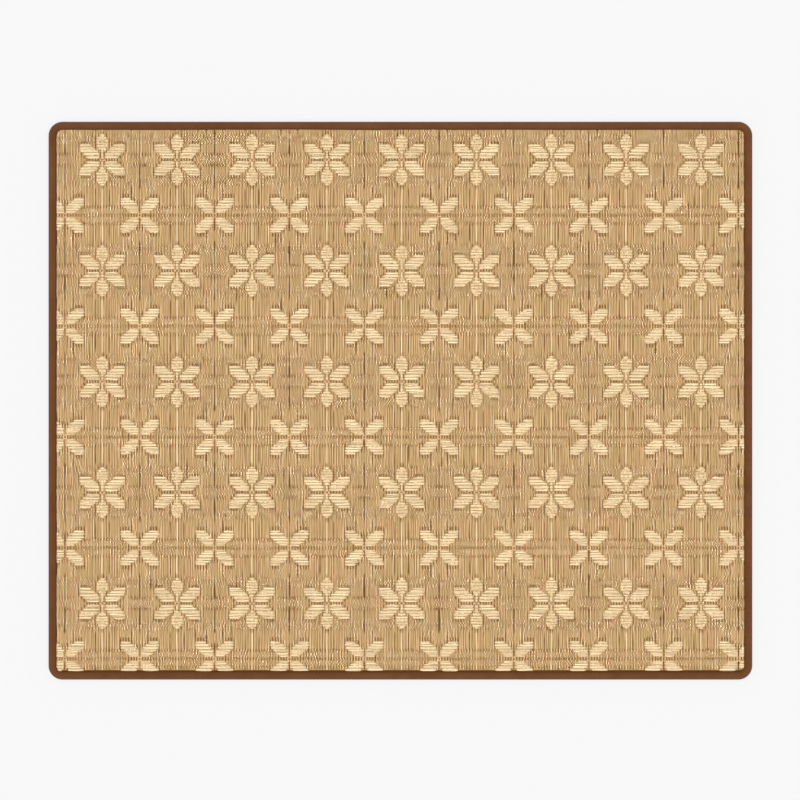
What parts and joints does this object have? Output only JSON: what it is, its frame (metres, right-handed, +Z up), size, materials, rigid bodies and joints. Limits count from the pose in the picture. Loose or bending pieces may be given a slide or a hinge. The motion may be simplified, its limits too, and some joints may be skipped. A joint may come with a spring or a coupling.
{
  "type": "tatami mat",
  "caption": "Flat woven floor mat with star flowers and crosses in cream on tan, its rim bound all round with brown cloth tape.",
  "frame": {"origin": "centre of the mat on the surface it lies on", "axes": "+X along the long side, +Y along the short side towards the edge at the top of the picture, +Z up out of the patterned face"},
  "size_m": [0.762, 0.604, 0.0043],
  "materials": {
    "weave": "matte",
    "tape": "matte"
  },
  "bodies": {
    "root": {"woven_panel": "weave", "edge_binding": "tape"}
  },
  "joints": []
}
